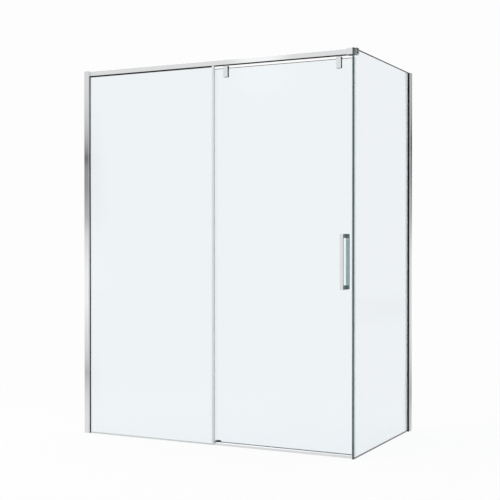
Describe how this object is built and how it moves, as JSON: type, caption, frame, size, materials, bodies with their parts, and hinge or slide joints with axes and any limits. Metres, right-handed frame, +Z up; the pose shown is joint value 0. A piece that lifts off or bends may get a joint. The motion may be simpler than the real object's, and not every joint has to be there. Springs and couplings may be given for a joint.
{
  "type": "corner shower enclosure",
  "caption": "Corner shower enclosure of clear glass: a fixed front panel, a door that slides behind it on rollers in a chrome header rail, and a glass return panel.",
  "frame": {"origin": "on the floor, at the middle of the enclosure's outline seen from above", "axes": "+Z up, +Y from the front glass towards the back wall, +X from the left wall towards the return glass"},
  "size_m": [1.599, 0.886, 2],
  "materials": {
    "chrome": "polished",
    "clear_glass": "polished, clear, toughened",
    "black_rubber": "matt",
    "black_plastic": "matt",
    "grey_cap_plastic": "gloss",
    "light_strip_plastic": "satin",
    "white_gasket_plastic": "satin",
    "anodised_aluminium": "satin",
    "clear_seal_plastic": "translucent",
    "clear_pad_plastic": "translucent",
    "white_bush_plastic": "matt",
    "steel": "plain",
    "axle_steel": "ground",
    "wheel_plastic": "matt"
  },
  "bodies": {
    "frame": {"left_wall_channel": "chrome", "right_wall_channel": "chrome", "left_glazing_channel": "chrome", "right_glazing_channel": "chrome", "header_rail": "chrome", "rail_corner_bracket": "chrome", "corner_clamp_plate": "chrome", "fixed_glass": "clear_glass", "side_glass": "clear_glass", "left_cover_gasket": "black_rubber", "right_cover_gasket": "black_rubber", "rail_glass_gaskets": "black_rubber", "stop_buffers": "black_rubber", "rail_pocket_filler": "black_plastic", "door_guide": "black_plastic", "rail_stops": "black_plastic", "left_channel_cap": "grey_cap_plastic", "right_channel_cap": "grey_cap_plastic", "fixed_edge_strip": "light_strip_plastic", "fixed_floor_strip": "light_strip_plastic", "wedge_gaskets": "white_gasket_plastic", "threshold_bar": "anodised_aluminium", "side_floor_strip": "clear_seal_plastic", "corner_clamp_pads": "clear_pad_plastic", "corner_clamp_bushes": "white_bush_plastic", "channel_screws": "steel", "rail_bracket_screws": "steel", "corner_clamp_screws": "steel", "stop_screws": "steel", "rail_wall_bracket": "steel"},
    "door": {"door_glass": "clear_glass", "door_strike_seal": "clear_seal_plastic", "door_trailing_seal": "clear_seal_plastic", "door_bottom_seal": "clear_seal_plastic", "left_hanger_block": "chrome", "right_hanger_block": "chrome", "hanger_clamps": "chrome", "hanger_pads": "clear_pad_plastic", "hanger_bushes": "white_bush_plastic", "hanger_screws": "steel", "left_trolley": "steel", "right_trolley": "steel", "trolley_bushes": "white_bush_plastic", "hanger_studs": "steel", "hanger_nuts": "steel", "outer_handle_bar": "chrome", "outer_handle_posts": "chrome", "inner_handle_bar": "chrome", "inner_handle_posts": "chrome", "handle_washers": "black_rubber", "handle_bushes": "white_bush_plastic", "handle_studs": "steel"},
    "left_trolley_left_wheelset": {"left_trolley_left_axle": "axle_steel", "left_trolley_left_wheels": "wheel_plastic"},
    "left_trolley_right_wheelset": {"left_trolley_right_axle": "axle_steel", "left_trolley_right_wheels": "wheel_plastic"},
    "right_trolley_left_wheelset": {"right_trolley_left_axle": "axle_steel", "right_trolley_left_wheels": "wheel_plastic"},
    "right_trolley_right_wheelset": {"right_trolley_right_axle": "axle_steel", "right_trolley_right_wheels": "wheel_plastic"}
  },
  "joints": [
    {"name": "door_slide", "type": "slide", "parent": "frame", "child": "door", "axis": [-1, 0, 0], "range_m": [0, 0.66]},
    {"name": "left_trolley_left_roll", "type": "hinge", "parent": "door", "child": "left_trolley_left_wheelset", "pos_m": [0.0513, -0.396, 1.9812], "axis": [0, 1, 0], "continuous": true},
    {"name": "left_trolley_right_roll", "type": "hinge", "parent": "door", "child": "left_trolley_right_wheelset", "pos_m": [0.0873, -0.396, 1.9812], "axis": [0, 1, 0], "continuous": true},
    {"name": "right_trolley_left_roll", "type": "hinge", "parent": "door", "child": "right_trolley_left_wheelset", "pos_m": [0.6785, -0.396, 1.9812], "axis": [0, 1, 0], "continuous": true},
    {"name": "right_trolley_right_roll", "type": "hinge", "parent": "door", "child": "right_trolley_right_wheelset", "pos_m": [0.7145, -0.396, 1.9812], "axis": [0, 1, 0], "continuous": true}
  ],
  "couplings": [
    {"joint": "left_trolley_left_roll", "follows": "door_slide", "rad_per_m": -111.11},
    {"joint": "left_trolley_right_roll", "follows": "door_slide", "rad_per_m": -111.11},
    {"joint": "right_trolley_left_roll", "follows": "door_slide", "rad_per_m": -111.11},
    {"joint": "right_trolley_right_roll", "follows": "door_slide", "rad_per_m": -111.11}
  ]
}
